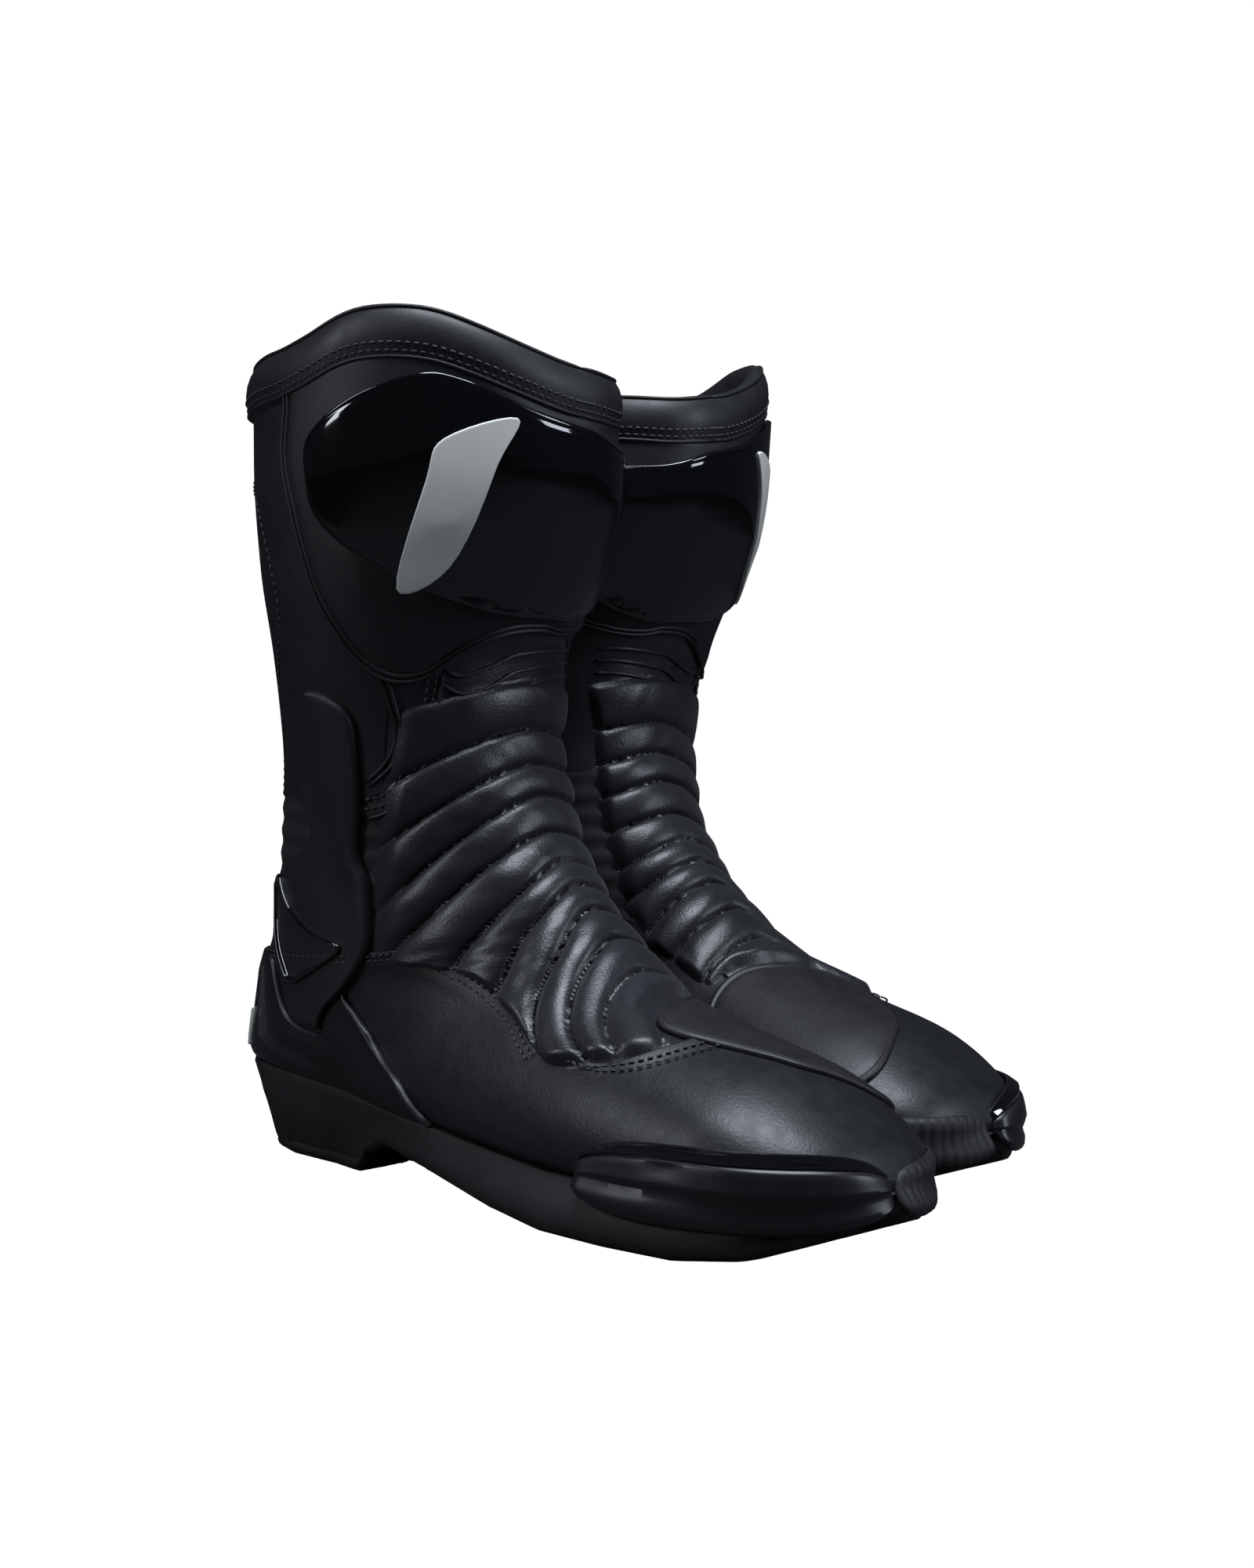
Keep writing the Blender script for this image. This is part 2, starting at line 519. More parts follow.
# leather: pebbled grain with fine creases, cloudy tone and scuffs
pebble, gi, go = effect("pebble_grain", {"Pebble": 950.0, "Cloud": 26.0, "Crease": 160.0})
wobble = node(pebble, "ShaderNodeTexNoise", {"Vector": gi["Place"], "Scale": 420.0, "Detail": 2.0})
bent = node(pebble, "ShaderNodeVectorMath", {0: wobble.outputs["Color"], 1: (0.0011, 0.0011, 0.0011)},
    operation="MULTIPLY")
moved = node(pebble, "ShaderNodeVectorMath", {0: gi["Place"], 1: bent.outputs[0]}, operation="ADD")
cells = node(pebble, "ShaderNodeTexVoronoi", {"Vector": moved.outputs[0], "Scale": gi["Pebble"]},
    feature="SMOOTH_F1")
crease = node(pebble, "ShaderNodeTexNoise", {"Vector": gi["Place"], "Scale": gi["Crease"], "Detail": 5.0,
    "Roughness": 0.6})
cloud = node(pebble, "ShaderNodeTexNoise", {"Vector": gi["Place"], "Scale": gi["Cloud"], "Detail": 5.0,
    "Roughness": 0.6})
flat = node(pebble, "ShaderNodeMath", {0: cells.outputs[0], 1: -0.9}, operation="MULTIPLY")
tall = node(pebble, "ShaderNodeMath", {0: flat.outputs[0], 1: crease.outputs[0]}, operation="ADD")
pebble.links.new(tall.outputs[0], go["Height"])
pebble.links.new(cloud.outputs[0], go["Tone"])
pebble.links.new(crease.outputs[0], go["Gloss"])
leather = finish("full_grain_leather", (0.0075, 0.008, 0.010), (0.016, 0.017, 0.021), (0.36, 0.5), pebble,
    bump=0.32, depth=0.00022)

t, a, far = panel(
    [(10.5, 176), (10.65, 120), (10.8, 80), (10.95, 60), (11.42, 59), (11.7, 50), (11.9, 30), (11.97, 0),
    (11.95, -27), (11.61, -29), (10.94, -30), (9.96, -37), (9.9, -80), (9.9, -120), (9.9, -176)],
    [(15.69, 176), (15.69, 90), (15.69, 0), (15.69, -90), (15.69, -176)], [(10.5, 176), (15.69, 176)],
    [(9.9, -176), (15.69, -176)], (4, 3.5))
in_front = np.clip((62 - np.degrees(np.abs(a + 0.1))) / 8, 0, 1)
d = (folded(far, 1.1, 8) - edges(far, "top", 0.8)) * in_front
outer, inner = skin(t, a, d), skin(t, a, 0 * t + INNER_FACE)
tip = []
for face_grid in (outer, inner):
    ring = face_grid[-1]
    mid = ring.mean(0)
    tip.append(np.stack([mid + (ring - mid) * math.cos(k) + np.array([1.6, 0, 0]) * math.sin(k)
        for k in np.radians([25, 50, 70, 90])]))
outer, inner = np.concatenate([outer, tip[0]]), np.concatenate([inner, tip[1]])
make_pair("toe_cap", *shell(outer, inner), leather, "foot", "vamp", "leather", sharp=70)

# ------------------------------------------------------------------ quarters
# Lateral and medial quarters of the same grained leather, lasted under the sole and lapped over the quilted
# instep; the scalloped upper edge of the lateral one is folded and sewn with two rows of black thread.
QUARTER_EDGE = [(7.45, 76.3), (7.69, 64.8), (8.32, 54.9), (9.24, 52.3), (10.07, 52.0), (10.95, 59.2)]
lateral_grid = panel(
    [(6.6, 179.9), (6.67, 130.7), (7.11, 93.8)] + QUARTER_EDGE, [(8.35, 179.9), (9.3, 177), (10.5, 176)],
    [(6.6, 179.9), (8.35, 179.9)], [(10.95, 59.2), (10.8, 80), (10.65, 120), (10.5, 176)], (3.5, 3.5))
t, a, far = lateral_grid
d = (folded(far, 0.95, 9) * np.clip(far["right"] / 12, 0, 1) - edges(far, "top", 0.8)
    * np.clip(far["right"] / 3, 0, 1))
d += 0.35 * np.exp(-(((far["top"] - 5.2) / 1.3) ** 2)) - 0.25 * np.exp(-(((far["top"] - 2.8) / 0.9) ** 2))
sheet_pair("lateral_quarter", t, a, d, INNER_FACE, leather, "foot", "quarter_lateral", "leather")
t, a, far = panel(
    [(6.6, -179.9), (6.67, -130.7), (7.11, -93.8), (7.58, -70), (8.41, -40.3), (8.91, -41), (9.96, -37)],
    [(8.35, -179.9), (9.2, -177), (9.9, -176)],
    [(6.6, -179.9), (8.35, -179.9)], [(9.96, -37), (9.9, -80), (9.9, -120), (9.9, -176)], (3.5, 3.5))
d = (folded(far, 0.8, 9) * np.clip(far["right"] / 12, 0, 1) - edges(far, "top", 0.8)
    * np.clip(far["right"] / 3, 0, 1))
sheet_pair("medial_quarter", t, a, d, INNER_FACE, leather, "foot", "quarter_medial", "leather")

# the thread: one tree lays a stitch at each step along a path
thread = finish("sewing_thread", (0.03, 0.031, 0.034), (0.065, 0.066, 0.072), (0.45, 0.65), moulded,
    {"Spark": 5000.0, "Cloud": 300.0}, bump=0.4)
sewing = bpy.data.node_groups.new("row_of_stitches", "GeometryNodeTree")
sewing.interface.new_socket("Geometry", in_out="INPUT", socket_type="NodeSocketGeometry")
SEW = {}
for key, kind, value in (("Step", "NodeSocketFloat", 0.0033), ("Stitch", "NodeSocketFloat", 0.0024),
    ("Thread", "NodeSocketFloat", 0.0004), ("Finish", "NodeSocketMaterial", None)):
    s = sewing.interface.new_socket(key, in_out="INPUT", socket_type=kind)
    if value is not None:
        s.default_value = value
    SEW[key] = s.identifier
sewing.interface.new_socket("Geometry", in_out="OUTPUT", socket_type="NodeSocketGeometry")
gi, go = sewing.nodes.new("NodeGroupInput").outputs, sewing.nodes.new("NodeGroupOutput").inputs
path = node(sewing, "GeometryNodeMeshToCurve", {"Mesh": gi["Geometry"]})
steps = node(sewing, "GeometryNodeResampleCurve",
    {"Curve": path.outputs[0], "Length": gi["Step"]}, mode="LENGTH")
heading = node(sewing, "GeometryNodeInputTangent")
turned = node(sewing, "FunctionNodeAlignRotationToVector", {"Vector": heading.outputs[0]}, axis="Z")
bead = node(sewing, "GeometryNodeMeshUVSphere", {"Segments": 6, "Rings": 4, "Radius": 1.0})
thick = node(sewing, "ShaderNodeCombineXYZ", {"X": gi["Thread"], "Y": gi["Thread"]})
longer = node(sewing, "ShaderNodeMath", {0: gi["Stitch"], 1: 0.5}, operation="MULTIPLY")
sewing.links.new(longer.outputs[0], thick.inputs["Z"])
rows = node(sewing, "GeometryNodeInstanceOnPoints", {"Points": steps.outputs[0], "Instance": bead.outputs[0],
    "Rotation": turned.outputs[0], "Scale": thick.outputs[0]})
real = node(sewing, "GeometryNodeRealizeInstances", {0: rows.outputs[0]})
set_finish = node(sewing, "GeometryNodeSetMaterial", {0: real.outputs[0], "Material": gi["Finish"]})
sewing.links.new(set_finish.outputs[0], go[0])


def lay(name, tree, values, polylines, boot):
    """Runs a Geometry Nodes tree over polylines in boot millimetres and returns the plain mesh object."""
    points, edge_list = [], []
    for line in polylines:
        start = len(points)
        points += place(line, boot).tolist()
        edge_list += [(i, i + 1) for i in range(start, len(points) - 1)]
    guide_mesh = bpy.data.meshes.new(name + "_guide")
    guide_mesh.from_pydata(points, edge_list, [])
    guide = bpy.data.objects.new(name + "_guide", guide_mesh)
    bpy.context.scene.collection.objects.link(guide)
    mod = guide.modifiers.new("lay", "NODES")
    mod.node_group = tree
    for key, value in values.items():
        mod[key] = value
    bpy.context.view_layer.update()
    mesh = bpy.data.meshes.new_from_object(guide.evaluated_get(bpy.context.evaluated_depsgraph_get()))
    guide.modifiers.remove(mod)
    bpy.data.objects.remove(guide)
    mesh.name = name
    mesh.polygons.foreach_set("use_smooth", [True] * len(mesh.polygons))
    obj = bpy.data.objects.new(name, mesh)
    bpy.context.scene.collection.objects.link(obj)
    return obj


def on_skin(marks, d, step=2.0):
    """A path over the last through (station, degrees) marks at distance d."""
    length = follow(marks, [0, 1])[1]
    q, _ = follow(marks, np.linspace(0, 1, max(3, int(length / step))))
    return skin(q[:, 0], q[:, 1], np.full(len(q), float(d)))


STITCH_SHARE, THREAD_RADIUS = 0.72, 0.00048


def sew(name, paths, body, bend=False, step=3.3):
    """A row of stitches along each path, for each boot."""
    for boot in BOOTS:
        obj = lay(f"{boot}_{name}", sewing, {SEW["Step"]: step / 1000, SEW["Stitch"]: STITCH_SHARE * step
            / 1000, SEW["Thread"]: THREAD_RADIUS, SEW["Finish"]: thread}, paths, boot)
        hold(obj, boot, body, bend=bend)


def rows_inside(t, a, d, far, edge, depths, lift=0.15):
    """Paths across a panel's grid at fixed distances from one of its edges, on its outer face."""
    face_grid = skin(t, a, d + lift)
    paths = []
    for depth in depths:
        if edge in ("top", "bottom"):
            order = np.argsort(far[edge][:, 0])
            w = np.interp(depth, far[edge][order, 0], np.arange(len(order)))
            i = int(w)
            paths.append(face_grid[order[i]] * (1 - w + i)
                + face_grid[order[min(i + 1, len(order) - 1)]] * (w - i))
        else:
            order = np.argsort(far[edge][0])
            w = np.interp(depth, far[edge][0, order], np.arange(len(order)))
            i = int(w)
            paths.append(face_grid[:, order[i]] * (1 - w + i)
                + face_grid[:, order[min(i + 1, len(order) - 1)]] * (w - i))
    return paths


t, a, far = lateral_grid
d = folded(far, 0.95, 9) + 0 * t
sew("quarter_thread", rows_inside(t, a, d, far, "top", (2.2, 4.9), 0.25)
    + [on_skin([(11.08 + k, 56), (11.5 + k, 53), (11.78 + k, 43), (11.93 + k, 30), (12.0 + k, 12),
    (12.0 + k, 2)], 1.0) for k in (0.1, 0.22)], "foot")

# ------------------------------------------------------------------ quilted instep
# Soft leather over foam, sewn through in twelve puffed ribs that fan from the lateral seam over the shin
# and foot, so that the boot can flex at the ankle. Black thread runs down each groove.
RIBS, PUFF = 12, 4.4
soft_leather = finish("quilt_leather", (0.008, 0.0085, 0.011), (0.018, 0.019, 0.024), (0.3, 0.44), pebble,
    {"Pebble": 1100.0, "Crease": 120.0}, bump=0.34, depth=0.00025, sheen=0.1)
t, a, far = panel(
    [(2.45, -36), (2.5, -15), (2.55, 5), (2.62, 22), (2.8, 40), (2.95, 61)],
    [(11.3, -43), (11.9, -26), (12.15, 0), (12.15, 25), (11.95, 42), (11.3, 66)],
    [(2.45, -36), (3.17, -39), (3.88, -35), (4.69, -36), (5.3, -37), (6.85, -39), (8.41, -43), (9.0, -47),
    (9.96, -44), (10.8, -43), (11.3, -43)],
    [(2.95, 61), (3.5, 56.5), (4.6, 66), (5.9, 74.5), (7.5, 79), (8.1, 68), (8.6, 60), (9.3, 59), (10.1, 59),
    (11.3, 66)], (1.9, 1.15))
u = far["left"] / (far["left"] + far["right"])
# grooves: station of each at the shin line and 50 degrees out on the lateral side; they drop away to both
# sides
GROOVE_MID = np.array([3.2, 3.85, 4.45, 5.05, 5.85, 6.6, 7.25, 7.95, 8.9, 10.1, 11.2, 12.3])
GROOVE_OUT = np.array([3.55, 4.45, 5.25, 6.1, 6.95, 8.15, 9.15, 10.4, 11.45, 12.1, 12.8, 13.6])


def groove(i, degrees):
    """Station of groove i at each angle."""
    fall = np.where(degrees > 0, (np.clip(degrees, 0, 90) / 50) ** 1.35,
        0.35 * (np.clip(-degrees, 0, 90) / 40) ** 1.5)
    return GROOVE_MID[i] + (GROOVE_OUT[i] - GROOVE_MID[i]) * fall


deg = np.degrees(a)
k = np.full(t.shape, -1.0)
for i in range(RIBS - 1):
    start, stop = groove(i, deg), groove(i + 1, deg)
    k = np.where(t >= start, i + np.clip((t - start) / (stop - start), 0, 1), k)
cell = np.where(k < 0, 0, k - np.floor(np.minimum(k, RIBS - 1.001)))
puff = np.sqrt(np.clip(1 - (2 * cell - 1) ** 2, 0, 1)) ** 0.8
fade = np.clip(far["left"] / 9, 0, 1) * np.clip((far["right"] - np.where(t < 7.6, 1, 5))
    / np.where(t < 7.6, 16, 5), 0, 1)
pad_edge = np.interp(deg, [-45, -22.5, 0, 15.8, 28, 50], [11.1, 10.9, 11.1, 11.4, 12.6, 12.6])
fade *= np.clip((far["bottom"] - 3) / 7, 0, 1) * np.clip((pad_edge - t) / 0.35, 0, 1)
fade = fade * fade * (3 - 2 * fade)
rng = np.random.default_rng(7)
pucker = sum(np.sin(u * rng.uniform(25, 70) + k * rng.uniform(2, 9) + rng.uniform(0, 6.3))
    for _ in range(7)) / 7
body = np.where(k >= 0, 1, 0)
rib_width = np.interp(t, [3, 7, 9, 12], [0.72, 0.85, 1.05, 1.1])
d = -0.5 + PUFF * puff * fade * body * rib_width + 0.3 * pucker * puff * fade * body
d -= 0.9 * np.exp(-((np.minimum(cell, 1 - cell) / 0.05) ** 2)) * fade * body
sheet_pair("instep_ribs", t, a, d, -2.3, soft_leather, "foot", "instep_quilt", "quilt_leather", bend=True,
    sharp=75, fill=0.7)
paths = []
for i in range(1, RIBS - 1):
    line = groove(i, deg)
    hit = [(int(np.argmin(np.abs(t[:, c] - line[:, c]))), c) for c in range(t.shape[1])]
    hit = [(r, c) for r, c in hit if 0 < r < t.shape[0] - 1 and fade[r, c] > 0.12]
    if len(hit) > 8:
        r, c = np.array(hit).T
        paths.append(skin(line[r, c], a[r, c], 0 * r - 0.55))
sew("rib_thread", paths, "foot", bend=True, step=3.0)

# ------------------------------------------------------------------ ankle gusset
# Thin stretch gusset that closes the back of the ankle between foot and shaft; matt, with sewn flex lines.
fabric, gi, go = effect("knit_weave", {"Rib": 1400.0, "Cloud": 40.0})
across_w = node(fabric, "ShaderNodeTexWave", {"Vector": gi["Place"], "Scale": gi["Rib"], "Distortion": 0.6},
    bands_direction="Z")
along_w = node(fabric, "ShaderNodeTexWave", {"Vector": gi["Place"], "Scale": gi["Rib"], "Distortion": 0.6},
    bands_direction="DIAGONAL")
cross_w = node(fabric, "ShaderNodeMath", {0: across_w.outputs["Fac"], 1: along_w.outputs["Fac"]},
    operation="MAXIMUM")
cloud = node(fabric, "ShaderNodeTexNoise", {"Vector": gi["Place"], "Scale": gi["Cloud"], "Detail": 5.0})
fabric.links.new(cross_w.outputs[0], go["Height"])
fabric.links.new(cloud.outputs[0], go["Tone"])
fabric.links.new(cross_w.outputs[0], go["Gloss"])
stretch = finish("stretch_fabric", (0.010, 0.010, 0.0115), (0.02, 0.02, 0.023), (0.62, 0.8), pebble,
    {"Pebble": 1700.0}, bump=0.35, depth=0.00015)
t, a, far = panel(
    [(4.3, 60), (4.3, 90), (4.2, 120), (4.1, 180), (4.2, 240), (4.3, 270), (4.4, 300), (4.4, 326)],
    [(7.75, 74), (7.35, 93.8), (6.9, 130.7), (6.8, 180), (6.9, 229.3), (7.35, 266.2), (7.8, 290), (8.6, 320)],
    [(4.3, 60), (5.9, 69), (7.75, 74)], [(4.4, 326), (5.3, 328), (6.85, 326), (8.6, 320)], (4, 2))
d = (-0.25 + 0.35 * np.cos(far["top"] * 2 * np.pi / 9) * np.clip(far["top"] / 12, 0, 1)
    * np.clip(far["bottom"] / 12, 0, 1))
sheet_pair("heel_gusset", t, a, d, -2.0, stretch, "foot", "ankle_gusset", "stretch_fabric", bend=True)

# ------------------------------------------------------------------ shaft panels
# Lateral and medial shaft panels of smooth coated leather; the front parts lie under the shin frame.
smooth_leather = finish("coated_leather", (0.0075, 0.008, 0.0095), (0.014, 0.0145, 0.018), (0.42, 0.56),
    pebble, {"Pebble": 1300.0, "Crease": 110.0}, bump=0.25, depth=0.00015)
t, a, far = panel(
    [(0.45, 181), (0.5, 135), (0.2, 95), (-0.1, 75), (-0.15, 60), (-0.05, 45), (0.2, 25),
    (0.45, 5), (0.5, 0)],
    [(4.55, 181), (4.6, 120), (4.7, 90), (4.75, 66), (3.6, 57), (2.95, 44), (2.7, 20), (2.65, 0)],
    [(0.45, 181), (4.55, 181)], [(0.5, 0), (2.65, 0)], (4, 4))
sheet_pair("lateral_shaft", t, a, 0 * t, INNER_FACE, smooth_leather, "shaft", "shaft_lateral", "leather")
t, a, far = panel(
    [(0.5, -1), (0.5, -45), (0.5, -90), (0.55, -137)],
    [(2.65, -1), (2.9, -34), (4.6, -34), (4.6, -60), (4.6, -100), (4.55, -137)],
    [(0.5, -1), (2.65, -1)], [(0.55, -137), (4.55, -137)], (4, 4))
sheet_pair("medial_shaft", t, a, 0 * t, INNER_FACE, smooth_leather, "shaft", "shaft_medial", "leather")


def bead(paths, radius, sides=8):
    """Closed round cords of one radius along paths: piping and moulded ridges."""
    points, faces, base = [], [], 0
    for line in paths:
        line = np.asarray(line, float)
        along = np.gradient(line, axis=0)
        along /= np.linalg.norm(along, axis=1, keepdims=True) + 1e-12
        up = np.cross(along, np.roll(along, 1, 1) + np.array([0.3, 0.1, 0.2]))
        up[0] /= np.linalg.norm(up[0])
        for i in range(1, len(up)):
            up[i] = up[i - 1] - along[i] * (up[i - 1] @ along[i])
            up[i] /= np.linalg.norm(up[i]) + 1e-12
        side = np.cross(along, up)
        size = np.full(len(line), radius)
        size[[0, -1]] = 1e-4
        if len(line) > 6:
            size[[1, -2]] = radius * 0.8
        ang = np.arange(sides) * 2 * np.pi / sides
        ring = (line[:, None] + size[:, None, None]
            * (np.cos(ang)[None, :, None] * up[:, None] + np.sin(ang)[None, :, None] * side[:, None]))
        points.append(ring.reshape(-1, 3))
        faces.append(grid_faces(len(line), sides, base, wrap=True))
        base += len(line) * sides
    return np.concatenate(points), np.concatenate(faces)


def piping(name, marks_and_heights, radius, finishes, body, bend=False, slot=None):
    paths = [on_skin(marks, d) for marks, d in marks_and_heights]
    make_pair(name, *bead(paths, radius), finishes, body, (), slot, bend)


piping("shaft_welts", [([(3.05, 58.5), (3.5, 55.7), (3.93, 54.6), (4.3, 61.2), (4.58, 71.4)], 0.2),
    ([(3.05, 55), (3.6, 52.8), (3.97, 51.9), (4.31, 57.5), (4.65, 70.4)], 0.2),
    ([(3.1, 33), (3.5, 36), (3.95, 40.1), (4.35, 44.8), (4.91, 55.1), (5.1, 65.2), (5.14, 73.1)], 0.35)],
    0.75, smooth_leather, "foot", bend=True, slot="leather")
sew("shaft_thread", [on_skin([(3.1, 35.5), (3.5, 38.5), (3.9, 42.3), (4.28, 47), (4.78, 56.5), (4.95, 65.2),
    (4.98, 72)], 0.35), on_skin([(3.1, 38.5), (3.5, 41.5), (3.8, 45), (4.15, 49.5), (4.62, 58), (4.8, 65.2),
    (4.83, 71)], 0.3)], "foot", bend=True)
piping("chin_ridges", [([(3.2, 36), (3.36, 26), (3.26, 14), (3.08, 3.7), (2.98, -18), (2.98, -33)], 0.1),
    ([(3.4, 33), (3.52, 24), (3.38, 9), (3.22, -4), (3.15, -18.4), (3.14, -33)], 0.0),
    ([(3.05, 33), (3.14, 26), (3.02, 14), (2.88, 3.7), (2.82, -18), (2.82, -33)], 0.1)], 0.8, soft_leather,
    "foot", bend=True, slot="quilt_leather")

# ------------------------------------------------------------------ calf panel
# Ribbed stretch panel let into the back of the calf, so that the shaft can open over the muscle.
t, a, far = panel(
    [(1.15, 130), (1.05, 150), (1.05, 181), (1.05, 221)], [(4.55, 123), (4.5, 150), (4.4, 181), (4.5, 224)],
    [(1.15, 130), (1.5, 113.8), (2.49, 101.7), (3.3, 113.8), (4.55, 123)],
    [(1.05, 221), (1.7, 223), (2.9, 219), (4.5, 224)], (4, 1.5))
d = (-0.35 + 0.2 * np.cos(far["top"] * 2 * np.pi / 6) * np.clip(far["left"] / 6, 0, 1)
    * np.clip(far["right"] / 4, 0, 1) - edges(far, "left top right", 0.7))
sheet_pair("calf_stretch", t, a, d, INNER_FACE, stretch, "shaft", "calf_panel", "stretch_fabric")
sew("calf_thread", rows_inside(t, a, 0 * t - 0.05, far, "left", (2.2,)), "shaft")

# ------------------------------------------------------------------ linings
# Knitted mesh lining in three lengths; the ankle part stretches with the gusset. The foot part is the
# frame's own.
knit = finish("lining_mesh", (0.008, 0.008, 0.009), (0.018, 0.018, 0.02), (0.8, 0.95), fabric,
    {"Rib": 900.0}, bump=0.5, depth=0.0002, sheen=0.2)
turn = np.radians(np.arange(0, 360, 6))
tv = np.linspace(0.1, 4.3, 26)[:, None] + 0 * turn
tv[0] = 0.55 - 0.55 * np.clip(np.cos(turn - math.radians(60)), 0, 1) ** 2
make_pair("shaft_mesh", *shell(skin(tv, turn + 0 * tv, 0 * tv - 2.4), skin(tv, turn + 0 * tv, 0 * tv - 5.0),
    wrap=True), knit, "shaft", "shaft_lining", "lining_mesh")
tv = np.stack([np.full(len(turn), 4.1), np.full(len(turn), 5.0), np.full(len(turn), 5.8),
    np.full(len(turn), 6.6), 7.2 - 0.0 * turn + 0.9 * np.clip(np.cos(turn), 0, 1)])
make_pair("ankle_mesh", *shell(skin(tv, turn + 0 * tv, 0 * tv - 2.8), skin(tv, turn + 0 * tv, 0 * tv - 5.2),
    wrap=True), knit, "foot", "ankle_lining", "lining_mesh", bend=True)

# ------------------------------------------------------------------ padded collar
# Foam collar in smooth leather, rolled over the mouth, with piping at the rim and two sewn rows at its
# lower edge.
COLLAR_EDGE = [(-180, 284), (-135, 281), (-90, 284), (-45, 285), (-20, 284), (5, 286), (25, 294), (45, 303),
    (60, 305), (75, 303), (95, 291), (135, 286), (180, 284)]


def collar_line(a):
    """Height of the collar's lower edge at each angle."""
    deg = (np.degrees(a) + 180) % 360 - 180
    ang = np.array([p[0] for p in COLLAR_EDGE], float)
    z = np.array([p[1] for p in COLLAR_EDGE], float)
    k = np.clip(np.searchsorted(ang, deg, side="right") - 1, 0, len(ang) - 2)
    u = (deg - ang[k]) / (ang[k + 1] - ang[k])
    return z[k] + u * u * (3 - 2 * u) * (z[k + 1] - z[k])


collar_turn = np.radians(np.arange(0, 360, 3.0))
edge_z = collar_line(collar_turn)
edge_z = np.convolve(np.concatenate([edge_z[-3:], edge_z, edge_z[:3]]), np.ones(7) / 7, "valid")
ROLL = [(-0.6, -1.5), (0.9, -1.2), (1.6, -0.4), (1.9, 1.2), (2.5, 4), (2.9, 7.5), (2.5, 11), (1.5, 14),
    (0.2, 16.2), (-1.4, 17.6), (-3.2, 18), (-5.2, 17.2), (-6.8, 15.2), (-7.8, 12), (-8.2, 8), (-7.9, 4),
    (-7.0, 0), (-5.6, -3), (-4.2, -4.2)]
flat_out = outward((299.6 - edge_z) / 32.2, collar_turn) * np.array([1, 1, 0])
flat_out /= np.linalg.norm(flat_out, axis=1, keepdims=True)
tall = 1.0 + 0.06 * np.cos(collar_turn - math.radians(50))
rim = last((299.6 - edge_z) / 32.2, collar_turn)
ring = np.stack([rim + flat_out * dd + np.array([0, 0, 1.0]) * (zz * tall)[:, None] for dd, zz in ROLL])
ring = np.concatenate([ring, ring[:1]])
puff = sum(np.sin(collar_turn * q + q * q) for q in (5, 9, 14)) / 3 * 0.18
ring += flat_out * puff[None, :, None] * np.sin(np.linspace(0, np.pi, len(ring)))[:, None, None]
make_pair("collar_roll", ring.reshape(-1, 3), grid_faces(len(ring), len(collar_turn), 0, wrap=True),
    smooth_leather, "shaft", "collar", "leather", fill=0.85, sharp=80)
close = np.append(np.arange(len(collar_turn)), [0, 1])
make_pair("collar_piping", *bead([(rim + flat_out * -0.4 + np.array([0, 0, 1.0])
    * (17.2 * tall)[:, None])[close], (rim + flat_out * 1.7 + np.array([0, 0, 1.0])
    * (0.2 * tall)[:, None])[close]], 0.75), smooth_leather, "shaft", slot="leather")
sew("collar_thread", [(rim + flat_out * 2.15 + np.array([0, 0, 1.0]) * (2.2 * tall)[:, None])[close],
    (rim + flat_out * 2.75 + np.array([0, 0, 1.0]) * (4.9 * tall)[:, None])[close]], "shaft")

# ------------------------------------------------------------------ shin frame
# Matt moulded TPU frame wrapped round the shin, stitched on under a double beaded border; it carries the
# gloss plate and ends in a rounded chin above the quilt.
matt_tpu = finish("matt_tpu", (0.0095, 0.010, 0.0115), (0.0145, 0.015, 0.0175), (0.44, 0.56), moulded,
    {"Spark": 3200.0, "Cloud": 24.0}, bump=0.28, depth=0.00008)
FRAME_EDGE = [(-0.01, 95.5), (0.37, 96), (0.95, 97.1), (1.48, 93.2), (2.24, 85.6), (2.77, 72.7),
    (3.11, 62.1), (3.24, 51.1), (3.17, 39.9), (2.92, 28.2),
    (2.70, 14.5), (2.62, 0), (2.66, -14.5), (2.60, -34), (2.4, -52), (1.61, -67.8), (0.62, -69.8),
    (0.35, -67), (0.33, -45), (0.36, -20), (0.30, 5), (0.05, 25),
    (-0.22, 45), (-0.29, 58), (-0.27, 70), (-0.12, 85)]


